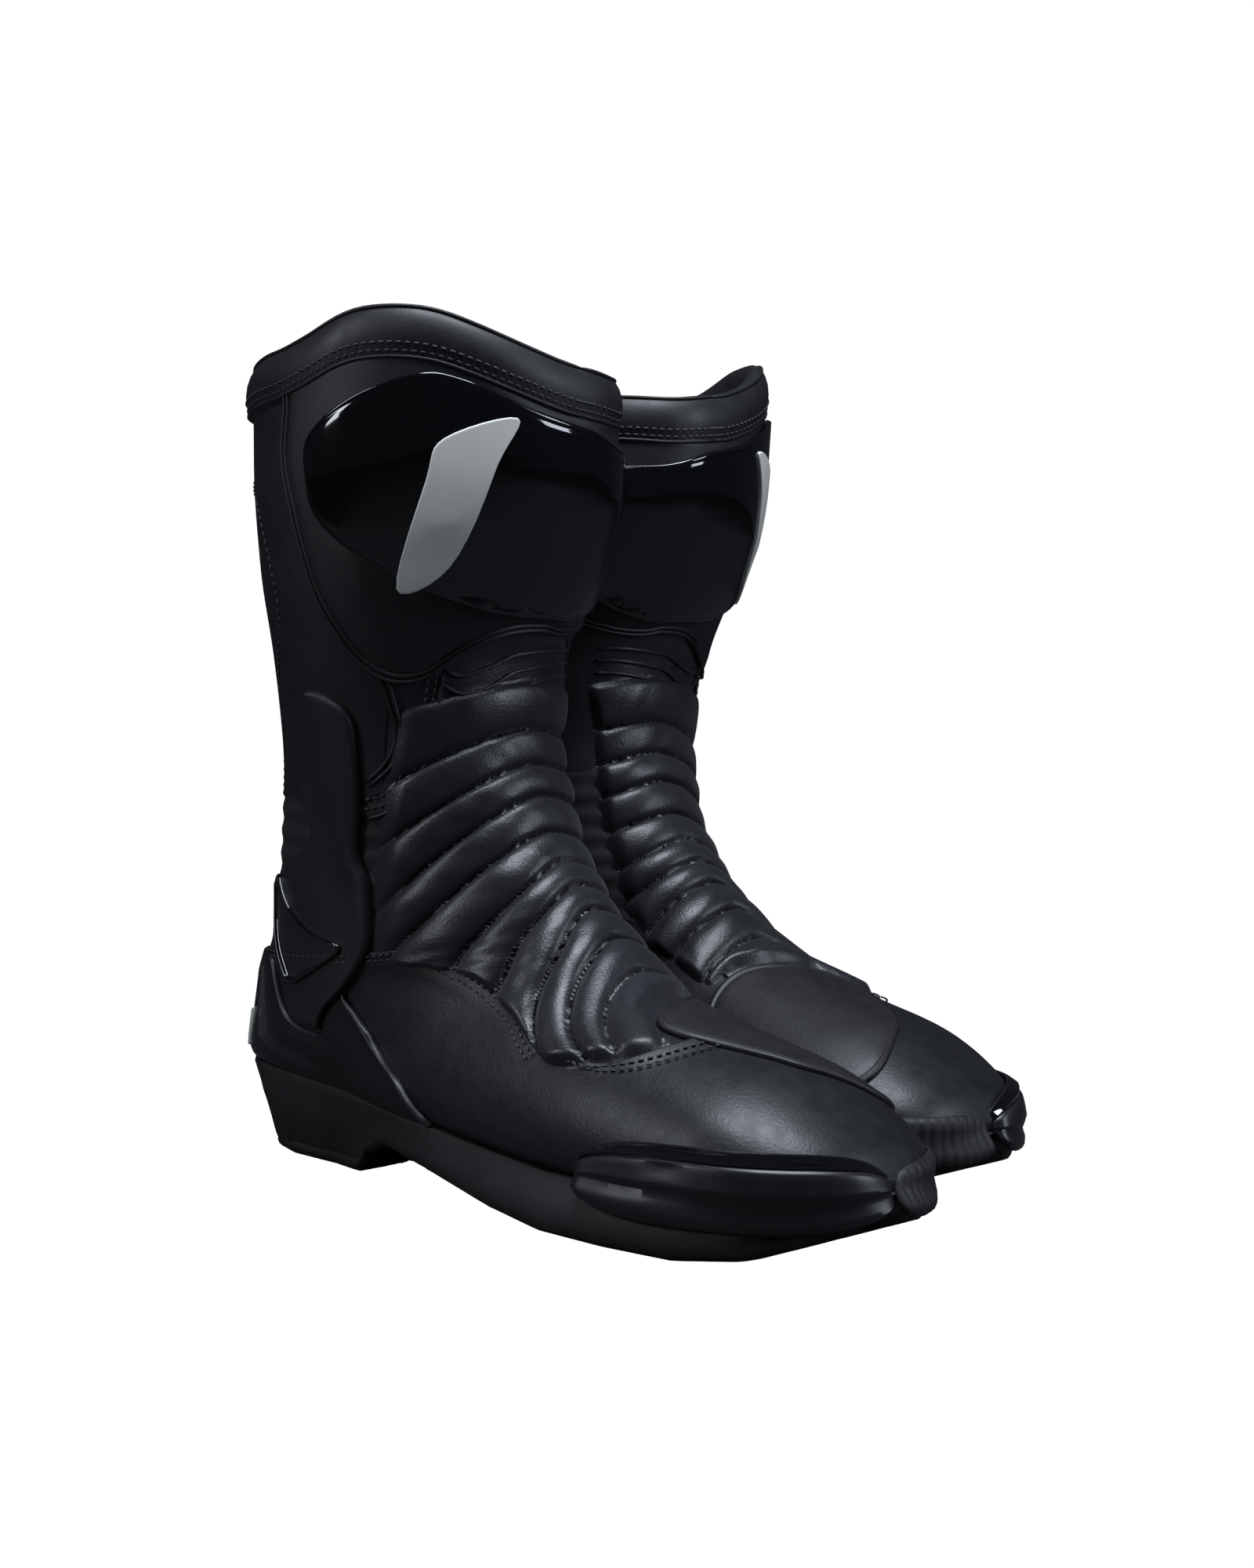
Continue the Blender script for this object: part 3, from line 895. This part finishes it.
def disc(outline, centre, near=(0, 0.25, 0.7, 1.3, 2.0, 3.0, 4.2), step=4.0):
    """Rings of stations and angles from a closed outline in to a centre, and each point's distance in
    mm from the edge."""
    p = np.array([(t, math.radians(a)) for t, a in outline], float)
    s = np.linspace(0, 1, 6, endpoint=False)[:, None]
    q = np.concatenate([0.5 * ((2 * b) + (c - a) * s + (2 * a - 5 * b + 4 * c - d) * s**2
        + (3 * b - a - 3 * c + d) * s**3)
        for a, b, c, d in zip(np.roll(p, 1, 0), p, np.roll(p, -1, 0), np.roll(p, -2, 0))])
    share = np.linspace(0, 1, 31)[None, :, None]
    spoke = q[:, None] * (1 - share) + np.array([centre[0], math.radians(centre[1])]) * share
    way = np.concatenate([np.zeros((len(q), 1)),
        np.cumsum(np.linalg.norm(np.diff(last(spoke[..., 0], spoke[..., 1]), axis=1), axis=2), 1)], 1)
    inner = np.linspace(0, 1, max(3, int((way[:, -1].max() - near[-1]) / step)) + 1)[1:]
    rings, depth = [], []
    for e in list(near) + [None] * len(inner):
        k = inner[len(depth) - len(near)] if e is None else 0
        mm = (np.minimum(near[-1], 0.6 * way[:, -1]) * (1 - k)
            + k * way[:, -1] if e is None else np.minimum(e, 0.6 * way[:, -1] * e / near[-1]))
        rings.append([[np.interp(m, w, sp[:, i]) for i in (0, 1)] for m, w, sp in zip(mm, way, spoke)])
        depth.append(mm)
    rings = np.array(rings)
    return rings[..., 0], rings[..., 1], np.array(depth)


def plate(outer, inner):
    """Closed plate between two equal sets of rings that meet at a centre."""
    rows, cols = outer.shape[:2]
    n, r = rows * cols, np.append(np.arange(cols), 0)
    faces = [grid_faces(rows, cols, 0, True), grid_faces(rows, cols, n, True)[:, ::-1],
        np.stack([r[:-1] + n, r[1:] + n, r[1:], r[:-1]], -1)]
    return np.concatenate([outer.reshape(-1, 3), inner.reshape(-1, 3)]), np.concatenate(faces)


def plate_pair(name, t, a, d, under, *rest, **more):
    """A plate for each boot from rings on the last, between d mm and under mm."""
    make_pair(name, *plate(skin(t, a, d), skin(t, a, 0 * t + under)), *rest, **more)


def hump(e, centre, radius):
    """A round ridge of height 1 at one distance from the edge."""
    return np.sqrt(np.clip(1 - ((e - centre) / radius) ** 2, 0, 1))


def from_line(t, a, start, stop):
    """Rough distance in mm over the skin from the line between two marks."""
    p = np.stack([t * 31, np.degrees(a) * 0.95], -1)
    u, v = (np.array([m[0] * 31, m[1] * 0.95]) for m in (start, stop))
    k = np.clip(((p - u) @ (v - u)) / ((v - u) @ (v - u)), 0, 1)
    return np.linalg.norm(p - u - k[..., None] * (v - u), axis=-1)


t, a, e = disc(FRAME_EDGE, (1.3, 20), (0, 0.2, 0.5, 0.9, 1.3, 1.7, 2.0, 2.4, 2.8, 3.3, 3.8,
    4.2, 4.8, 6.0), 3.0)
d = (1.1 - drop(e, 0.9) * 0.9 + 0.9 * hump(e, 0.95, 0.95) + 0.8 * hump(e, 3.2, 1.0)
    + 0.5 * np.clip((e - 4.2) / 2, 0, 1))
d += 1.3 * np.clip(1 - from_line(t, a, (1.9, 70), (3.0, 52)) / 12, 0, 1) * np.clip((e - 4.5) / 6, 0, 1)
plate_pair("shin_guard", t, a, d, 0.2, matt_tpu, "shaft", "shin_frame", "matte_tpu", sharp=60)

# ------------------------------------------------------------------ shin plate
# Deep-black polished TPU plate, clipped and glued into the frame. It bows across the shin and has a soft
# crease.
glossy = finish("gloss_tpu", (0.0035, 0.0035, 0.004), (0.005, 0.005, 0.006), (0.05, 0.09), moulded,
    {"Spark": 60.0, "Cloud": 22.0}, bump=0.02, depth=0.0002, coat=0.8, coat_rough=0.03)
PLATE_EDGE = [(0.55, 0), (0.37, 18.6), (0.08, 37.9), (0.02, 51.4), (0.3, 72), (0.71, 85.4), (1.13, 86.3),
    (1.53, 82), (1.9, 66.4), (2.21, 44), (2.42, 20), (2.45, 0),
    (2.45, -15), (2.23, -41.8), (1.58, -58.3), (0.92, -62.1), (0.8, -45), (0.74, -22)]


def plate_top(t, a):
    """Height of the plate over the last, with its crease."""
    return 4.35 + 0.8 * np.clip(1 - np.abs(t - (1.36 + 0.0045 * np.degrees(a))) / 0.5, 0, 1) ** 1.5


t, a, e = disc(PLATE_EDGE, (1.3, 15), (0, 0.2, 0.5, 0.9, 1.3, 1.8, 2.4, 3.2, 4.5), 2.6)
d = plate_top(t, a) - drop(e, 1.5) * 1.15 - 0.55 * np.exp(-(((e - 2.6) / 0.5) ** 2)) * 0.5
plate_pair("gloss_plate", t, a, d, 2.3, glossy, "shaft", "shin_plate", "gloss_tpu", sharp=60)

# ------------------------------------------------------------------ emblem
# Plain tapered blade, cut from ivory TPU and bonded proud on the gloss plate of each boot.
ivory = finish("ivory_tpu", (0.80, 0.82, 0.76), (0.86, 0.87, 0.81), (0.3, 0.4), moulded,
    {"Spark": 2600.0, "Cloud": 40.0}, bump=0.12, depth=0.00008)
t, a, e = disc([(2.18, 53.2), (1.96, 37.9), (0.99, 28), (0.49, 23), (0.74, 43.3), (1.15, 47.8)], (1.25, 38),
    (0, 0.15, 0.35, 0.7, 1.1, 1.8), 2.5)
make_pair("ivory_blade", *plate(skin(t, a, plate_top(t, a) + 0.95 - drop(e, 0.6)),
    skin(t, a, plate_top(t, a) - 0.15)), ivory, "shaft", "shin_emblem", "ivory_inlay")

# ------------------------------------------------------------------ ankle brace
# Matt TPU brace on the lateral side: a strap from the frame down to a paddle over the ankle bone, with a
# raised front band. It flexes with the ankle.


def strap(left, right, step=2.4, near=(0, 0.25, 0.7, 1.3, 2.0, 3.0), middle=9):
    """A long piece between two edge lines that meet at both ends: stations, angles, and mm from the
    left and right edges."""
    sv = shares(max(follow(left, [0, 1])[1], follow(right, [0, 1])[1]), step)
    p, q = follow(left, sv)[0], follow(right, sv)[0]
    wide = np.linalg.norm(last(p[:, 0], p[:, 1]) - last(q[:, 0], q[:, 1]), axis=1)
    safe = np.maximum(wide, 1e-6)
    inset = np.minimum(near[-1], 0.35 * wide)
    share = [inset * e / near[-1] / safe for e in near]
    share += [inset / safe + k * (1 - 2 * inset / safe) for k in np.linspace(0, 1, middle + 2)[1:-1]]
    share = np.array(share + [1 - s for s in share[:len(near)][::-1]]).T
    g = p[:, None] * (1 - share[..., None]) + q[:, None] * share[..., None]
    return g[..., 0], g[..., 1], share * wide[:, None], (1 - share) * wide[:, None]


t, a, rear, front = strap(
    [(3.31, 90), (3.45, 96), (3.86, 108), (4.68, 103), (5.2, 97), (5.45, 103), (5.6, 119), (5.78, 131),
    (6.1, 132), (6.67, 122.9), (7.65, 107.5), (8.3, 100), (8.42, 97)],
    [(3.31, 90), (3.35, 84), (3.54, 74.4), (3.88, 71.8), (4.88, 73.9), (5.7, 76.5), (6.29, 74.1), (7.27, 76),
    (7.8, 82.3), (8.3, 94), (8.42, 97)])
band = np.interp(t, [3.3, 4.4, 5.0, 5.6, 6.5, 7.6, 8.4], [32, 24, 14.5, 9.5, 7.0, 7.0, 3])
step_up = np.clip((band - front) / 2.6 + 0.5, 0, 1)
d = 1.0 + 2.0 * step_up * step_up * (3 - 2 * step_up) - drop(np.minimum(rear, front), 1.6)
d += (0.9 * np.sin(np.pi * np.clip(front / np.maximum(np.minimum(band, rear + front), 1), 0, 1)) * step_up
    * np.clip(rear / 3, 0, 1))
d = np.maximum(d, 0.45) + 0.25 * np.exp(-(((front - band) / 2.0) ** 2))
sheet_pair("ankle_paddle", t, a, d, 0.2, matt_tpu, "foot", "ankle_brace", "matte_tpu", bend=True, sharp=65)

# ------------------------------------------------------------------ brace window
# Triangular TPU insert pressed into the paddle: a polished rim round a sunk matt middle.
t, a, e = disc([(5.72, 121), (5.78, 127), (5.95, 127), (7.2, 110), (7.42, 104), (7.42, 98), (7.28, 87),
    (7.12, 86), (6.85, 92), (6.2, 110)], (6.9, 103), (0, 0.2, 0.5, 0.9, 1.3, 1.7, 2.1, 2.6, 3.2), 2.5)
d = 1.5 + 1.25 * hump(e, 1.1, 1.15) - 0.1 * np.clip((e - 2) / 2, 0, 1)
points, faces = plate(skin(t, a, d), skin(t, a, 0 * t + 0.9))
middle = np.zeros(len(faces), int)
middle[(len(e[0]) * 7):(len(e[0]) * (len(e) - 1))] = 1
make_pair("brace_window", points, faces, [glossy, matt_tpu], "foot", "brace_insert", "gloss_tpu", bend=True,
    sharp=60, marks=middle)

# ------------------------------------------------------------------ heel cup
# Moulded TPU heel cup, glued and lasted round the heel down to the sole, with a bead along its front edges
# and a polished hollow towards the rear.
satin_tpu = finish("satin_tpu", (0.008, 0.008, 0.009), (0.013, 0.013, 0.015), (0.3, 0.42), moulded,
    {"Spark": 2400.0, "Cloud": 30.0}, bump=0.2, depth=0.00008)
CUP_TOP = [(8.0, 85.5), (8.3, 94), (8.46, 98), (8.3, 102), (7.81, 107.9), (6.9, 121.4),
    (6.7, 132), (6.62, 150)]
CUP_FRONT = [(8.0, 85.5), (8.36, 86.5), (8.75, 89.5), (9.29, 92.8), (9.86, 97.2), (10.2, 106),
    (10.4, 114), (10.6, 122)]
CUP_FOOT = [(10.6, 122), (9.9, 138), (9.0, 155)]


def mirrored(marks):
    """The same marks on the medial side of the heel."""
    return [(station, 360 - degrees) for station, degrees in marks]


t, a, far = panel(
    CUP_TOP + [(6.6, 180)] + mirrored(CUP_TOP)[::-1], CUP_FOOT + [(8.45, 180)] + mirrored(CUP_FOOT)[::-1],
    CUP_FRONT, mirrored(CUP_FRONT), (3.0, 2.6))
side_gap = np.minimum(far["left"], far["right"])
d = 1.9 - edges(far, "left right top", 1.1) + 0.9 * hump(side_gap, 1.4, 1.3) * np.clip(far["top"] / 4, 0, 1)
hollow = np.clip((from_line(t, a, (6.9, 132), (8.6, 118)) - 4) / 3, 0, 1)
d += 0.7 * hollow * np.clip(side_gap / 14, 0, 1) * np.clip((far["top"] - 1) / 6, 0, 1)
points, faces = shell(skin(t, a, d), skin(t, a, 0 * t + 0.2))
polished = np.zeros(len(faces), int)
inside = (hollow < 0.3) & (far["top"] > 3)
cells_in = inside[:-1, :-1] & inside[1:, 1:]
polished[:cells_in.size] = cells_in.ravel()
make_pair("heel_shell", points, faces, [satin_tpu, glossy], "foot", "heel_cup", "gloss_tpu",
    sharp=60, marks=polished)

# ------------------------------------------------------------------ heel bar
# Plain ivory TPU bar let into the back of the heel cup and glued.
t, a, far = panel([(7.5, 131), (7.42, 155), (7.4, 180), (7.42, 205), (7.5, 229)],
    [(8.05, 137), (7.98, 158), (7.95, 180), (7.98, 202), (8.05, 223)],
    [(7.5, 131), (8.05, 137)], [(7.5, 229), (8.05, 223)], (3, 2))
sheet_pair("heel_bar", t, a, 3.6 - edges(far, "left right top bottom", 0.8), 2.0, ivory, "foot",
    "heel_insert", "ivory_inlay")

# ------------------------------------------------------------------ toe slider
# Replaceable hard TPU slider on the outer toe: satin faceted face, polished rolled upper edge, screwed from
# behind.
TOE_LINE = np.array([(128, 57.2), (146, 56.6), (162, 55.3), (178, 51.8), (190, 48.2), (200, 43.2),
    (209, 36.4), (217, 27), (222.5, 18.5), (225.6, 10), (226.8, 1), (226.6, -8), (224.8, -17),
    (221, -26), (214.5, -35), (207, -41.6), (198, -46.6), (186, -49.8), (174, -51)], float)


def round_toe(start, stop, low, high, columns, levels, proud):
    """Points outside the toe between two shares of its plan line; low and high give z at each column,
    proud the stand-off."""
    whole, _, _ = plan(TOE_LINE, 400)
    line, along, away = plan(whole[int(start * 399):int(stop * 399) + 1], columns)
    z = low[:, None] + (high - low)[:, None] * np.asarray(levels)[None]
    rest = reach(line, along, away, z)
    u = np.linspace(-1, 1, columns)
    for j in range(len(levels)):
        seen_ones = rest[:, j] > -7.9
        rest[:, j] = np.polyval(np.polyfit(u[seen_ones], rest[seen_ones, j], 3),
            u) if seen_ones.sum() > 12 else rest[:, max(j - 1, 0)]
    rest[:, 1:-1] = (rest[:, :-2] + rest[:, 1:-1] * 2 + rest[:, 2:]) / 4
    rest = np.maximum(rest, np.interp(z, [9, 20, 30], [-0.5, -1.5, -9])) + proud
    return np.concatenate([line[:, None] + away[:, None] * rest[..., None], z[..., None]], -1)


levels = np.array([0, 0.02, 0.06, 0.12, 0.22, 0.34, 0.44, 0.5, 0.535, 0.57, 0.64, 0.72, 0.78, 0.81, 0.835,
    0.86, 0.89, 0.925, 0.955, 0.98, 1.0])
columns = 90
u = np.linspace(0, 1, columns)
bow = (1 - np.abs(2 * u - 1) ** 3.4) ** (1 / 2.6)
low_z, high_z = 24 - 13.5 * bow + 2.5 * u, 24 + 15.0 * bow + 0.5 * u
rise = np.interp(levels, [0, 0.02, 0.06, 0.12, 0.5, 0.535, 0.57, 0.78, 0.81, 0.835, 0.86, 0.925, 0.98, 1],
    [0.1, 1.3, 2.5, 3.3, 4.5, 4.7, 4.5, 3.6, 3.3, 2.3, 2.9, 3.5, 2.0, 0.2])
ends = np.clip(np.minimum(u, 1 - u) * 26, 0, 1)
ends = np.sqrt(1 - (1 - ends) ** 2)
notch = (0.9 * np.clip(1 - np.abs(u - 0.33) / 0.09, 0, 1)[:, None]
    * np.clip(1 - np.abs(levels - 0.74) / 0.07, 0, 1)[None])
outer = round_toe(0.0, 0.60, low_z, high_z, columns, levels, rise[None] * ends[:, None] - notch)
inner = round_toe(0.0, 0.60, low_z, high_z, columns, levels, -0.4)
points, faces = shell(outer, inner)
band = np.zeros(len(faces), int)
in_band = np.tile(levels[:-1] >= 0.83, (columns - 1, 1))
band[:in_band.size] = in_band.ravel()
slider_satin = finish("slider_satin", (0.010, 0.010, 0.011), (0.017, 0.017, 0.019), (0.3, 0.4), moulded,
    {"Spark": 1700.0, "Cloud": 36.0}, bump=0.3, depth=0.00008)
make_pair("toe_slide", points, faces, [slider_satin, glossy], "foot", "toe_slider", "slider_tpu",
    sharp=42, marks=band)

# ------------------------------------------------------------------ toe bumper
# Soft rubber bumper with upright ribs, moulded and glued round the tip of the toe.
levels = np.array([0, 0.04, 0.12, 0.3, 0.5, 0.7, 0.88, 0.96, 1.0])
columns = 97
u = np.linspace(0, 1, columns)
bow = (1 - np.abs(2 * u - 1) ** 4) ** (1 / 3)
ribbed = 1.6 + 0.8 * np.abs(np.sin(u * np.pi * 15)) ** 0.7
profile = np.interp(levels, [0, 0.04, 0.12, 0.5, 0.88, 0.96, 1], [0.1, 0.6, 0.95, 1, 0.95, 0.6, 0.1])
ends = np.sqrt(1 - (1 - np.clip(np.minimum(u, 1 - u) * 22, 0, 1)) ** 2)
outer = round_toe(0.615, 0.93, 22 - 8 * bow, 22 + 10.5 * bow, columns, levels,
    profile[None] * (ribbed * ends)[:, None])
inner = round_toe(0.615, 0.93, 22 - 8 * bow, 22 + 10.5 * bow, columns, levels, -0.4)
make_pair("toe_ribs", *shell(outer, inner), sole_rubber, "foot", "toe_bumper", "pad_rubber", sharp=60)

# ------------------------------------------------------------------ shift pad
# Thin rubber pad sewn over the toes where the boot works the gear lever, with a fine border ridge and grip
# texture.
grip = finish("pad_rubber", (0.010, 0.010, 0.012), (0.017, 0.017, 0.020), (0.42, 0.55), pebble,
    {"Pebble": 800.0, "Crease": 90.0}, bump=0.4, depth=0.00015)
t, a, e = disc([(10.95, -22.5), (11.16, -0.2), (11.47, 15.8), (11.8, 17), (12.15, 12.3), (12.71, 2.5),
    (13.11, -5.6), (13.69, -36.8), (13.58, -64.9), (12.73, -89), (12.2, -80), (11.67, -64.9), (11.2, -45)],
    (12.2, -25), (0, 0.2, 0.5, 0.9, 1.3, 1.8, 2.3, 2.8, 3.4, 4.2), 3.0)
d = 1.9 - drop(e, 1.2) + 0.35 * hump(e, 2.0, 0.7) - 0.35 * np.exp(-(((e - 3.1) / 0.45) ** 2))
plate_pair("shift_guard", t, a, d, 0.1, grip, "foot", "shift_pad", "pad_rubber", sharp=60)

# ------------------------------------------------------------------ zip
# Coil zip on woven tape up the rear medial side, with its own slider and pull from the frame.
tape = finish("zip_tape", (0.010, 0.010, 0.011), (0.022, 0.022, 0.024), (0.6, 0.8), fabric, {"Rib": 1900.0},
    bump=0.5, depth=0.00015)
coil = finish("zip_coil", (0.015, 0.015, 0.016), (0.03, 0.03, 0.032), (0.3, 0.45), moulded,
    {"Spark": 3000.0, "Cloud": 200.0}, bump=0.2)
ZIP = [(4.28, -133.9), (3.6, -137.2), (2.87, -138.7), (2.3, -136.0), (1.74, -133.6),
    (1.2, -133.3), (0.62, -133.4)]
middle_line = on_skin(ZIP, 0.0, 2.5)
q, _ = follow(ZIP, np.linspace(0, 1, len(middle_line)))
normal = outward(q[:, 0], q[:, 1])
along = np.gradient(middle_line, axis=0)
along /= np.linalg.norm(along, axis=1, keepdims=True)
across = np.cross(along, normal)
widths = np.array([-3.3, -3.1, -2.2, -1.2, -1.1, 0, 1.1, 1.2, 2.2, 3.1, 3.3])
lifts = np.array([-1.4, -0.9, -0.7, -0.7, -1.0, -1.0, -1.0, -0.7, -0.7, -0.9, -1.4])
outer = (middle_line[:, None] + across[:, None] * widths[None, :, None]
    + normal[:, None] * lifts[None, :, None])
inner = middle_line[:, None] + across[:, None] * widths[None, :, None] - normal[:, None] * 2.2
make_pair("zip_tape", *shell(outer, inner), tape, "shaft", "zip_track", "zip_tape")
for boot in BOOTS:
    rows_of_teeth = [middle_line + across * w + normal * -0.65 for w in (-0.75, 0.75)]
    obj = lay(f"{boot}_zip_coil", sewing, {SEW["Step"]: 0.0013, SEW["Stitch"]: 0.0018, SEW["Thread"]: 0.0005,
        SEW["Finish"]: coil}, rows_of_teeth, boot)
    hold(obj, boot, "shaft")
sew("zip_thread", [middle_line + across * w + normal * -0.6 for w in (-2.7, 2.7)], "shaft", step=2.6)

# ------------------------------------------------------------------ closure flap
# Short leather flap with a hook-and-loop face, sewn at its rear edge, that closes over the top of the zip.
t, a, far = panel([(0.65, -147.5), (0.65, -136), (0.65, -123.1)],
    [(1.74, -149.5), (1.72, -137), (1.69, -122.6)], [(0.65, -147.5), (1.74, -149.5)],
    [(0.65, -123.1), (1.69, -122.6)], (3, 3))
d = 2.5 - edges(far, "left right top bottom", 0.8)
sheet_pair("flap", t, a, d, 1.1, leather, "closure_flap_body", "closure_flap", "flap_leather")
sew("flap_thread", rows_inside(t, a, 0 * t + 2.4, far, "top", (2.2,))
    + rows_inside(t, a, 0 * t + 2.4, far, "bottom", (2.2,))
    + rows_inside(t, a, 0 * t + 2.4, far, "right", (2.2,)), "closure_flap_body")

# ------------------------------------------------------------------ parts kept from the frame
# Board, footbed, foot lining, zip slider and zip pull keep their shape and get their own materials.
board = finish("pressed_board", (0.24, 0.18, 0.12), (0.36, 0.28, 0.19), (0.7, 0.85), moulded,
    {"Spark": 700.0, "Cloud": 70.0}, bump=0.4)
foam = finish("footbed_cloth", (0.03, 0.03, 0.033), (0.055, 0.055, 0.06), (0.8, 0.95), fabric,
    {"Rib": 1100.0}, bump=0.5, depth=0.0002, sheen=0.2)
dark_metal = finish("zip_metal", (0.06, 0.06, 0.065), (0.11, 0.11, 0.115), (0.28, 0.4), moulded,
    {"Spark": 4000.0, "Cloud": 120.0}, bump=0.1, metal=1.0)
for boot in BOOTS:
    for kept, kept_finish in (("insole_board", board), ("footbed", foam), ("foot_lining", knit),
        ("zip_slider", dark_metal), ("zip_pull", dark_metal)):
        for place_in_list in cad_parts[f"{boot}_{kept}"].material_slots:
            place_in_list.material = kept_finish
